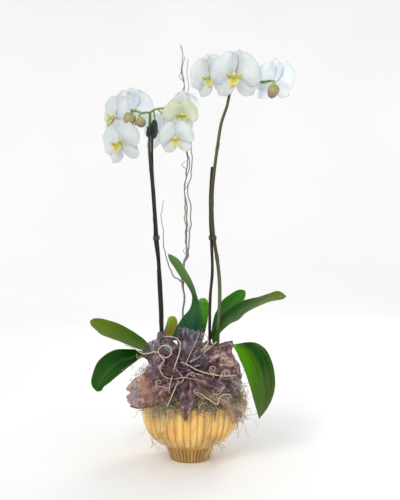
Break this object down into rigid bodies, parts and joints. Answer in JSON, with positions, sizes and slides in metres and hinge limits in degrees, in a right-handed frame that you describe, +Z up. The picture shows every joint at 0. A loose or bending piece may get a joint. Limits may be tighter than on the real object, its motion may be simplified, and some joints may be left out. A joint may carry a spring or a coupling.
{
  "type": "potted orchid",
  "caption": "White moth orchid with two arching flower stems, glossy leaves and a sheer purple bow over moss, in a ribbed ochre ceramic bowl.",
  "frame": {"origin": "centre of the flat underside of the bowl's foot", "axes": "+Z up along the bowl's axis, +X to the right of someone looking at the front with the bow, the front faces -Y"},
  "size_m": [0.3769, 0.2159, 0.752],
  "materials": {
    "glazed_bowl": "glossy ochre glaze, browner in the grooves between the ribs",
    "nursery_plastic": "matt dark plastic",
    "bark": "chipped bark",
    "dried_moss": "dry curled moss strands, beige to grey-green",
    "crown_green": "smooth plant stem",
    "leaf_green": "waxy leaf with a pale midrib",
    "stem_green": "smooth green to reddish-brown flower stem",
    "stake": "dark stained stick",
    "clip_plastic": "dark moulded plastic",
    "twig_bark": "dry grey-brown bark",
    "flower_lip": "waxy, yellow with a white edge",
    "petal_white": "soft waxy white petal with fine veins",
    "bud_green": "waxy green-beige bud with a pink flush",
    "organza": "sheer purple woven ribbon with wired edges",
    "vine": "dry pale tendril"
  },
  "bodies": {
    "root": {"pot": "glazed_bowl", "nursery_pot": "nursery_plastic", "bark_mix": "bark", "packing_moss": "dried_moss", "moss_topdressing": "dried_moss", "crown_left": "crown_green", "crown_right": "crown_green", "leaf_left_upper": "leaf_green", "leaf_left_lower": "leaf_green", "leaf_centre_tall": "leaf_green", "leaf_back_centre": "leaf_green", "leaf_right_upper": "leaf_green", "leaf_right_long": "leaf_green", "leaf_right_hanging": "leaf_green", "leaf_back_left": "leaf_green", "spike_left": "stem_green", "spike_right": "stem_green", "stake_left": "stake", "stake_right": "stake", "curly_twig": "twig_bark", "clip_left_upper": "clip_plastic", "clip_left_lower": "clip_plastic", "clip_right": "clip_plastic", "flower_1": "petal_white", "flower_1_lip": "flower_lip", "flower_2": "petal_white", "flower_2_lip": "flower_lip", "flower_3": "petal_white", "flower_3_lip": "flower_lip", "flower_4": "petal_white", "flower_4_lip": "flower_lip", "flower_5": "petal_white", "flower_5_lip": "flower_lip", "flower_6": "petal_white", "flower_6_lip": "flower_lip", "flower_7": "petal_white", "flower_7_lip": "flower_lip", "flower_8": "petal_white", "flower_8_lip": "flower_lip", "flower_9": "petal_white", "flower_9_lip": "flower_lip", "flower_10": "petal_white", "flower_10_lip": "flower_lip", "bud_a": "bud_green", "bud_b": "bud_green", "bud_c": "bud_green", "bow_knot": "organza", "bow_loop_left_upper": "organza", "bow_loop_left": "organza", "bow_loop_top": "organza", "bow_loop_right_upper": "organza", "bow_loop_right_lower": "organza", "bow_tail_left": "organza", "bow_tail_centre": "organza", "bow_tail_right": "organza", "curly_vine_1": "vine", "curly_vine_2": "vine", "curly_vine_3": "vine", "curly_vine_4": "vine", "curly_vine_5": "vine"}
  },
  "joints": []
}
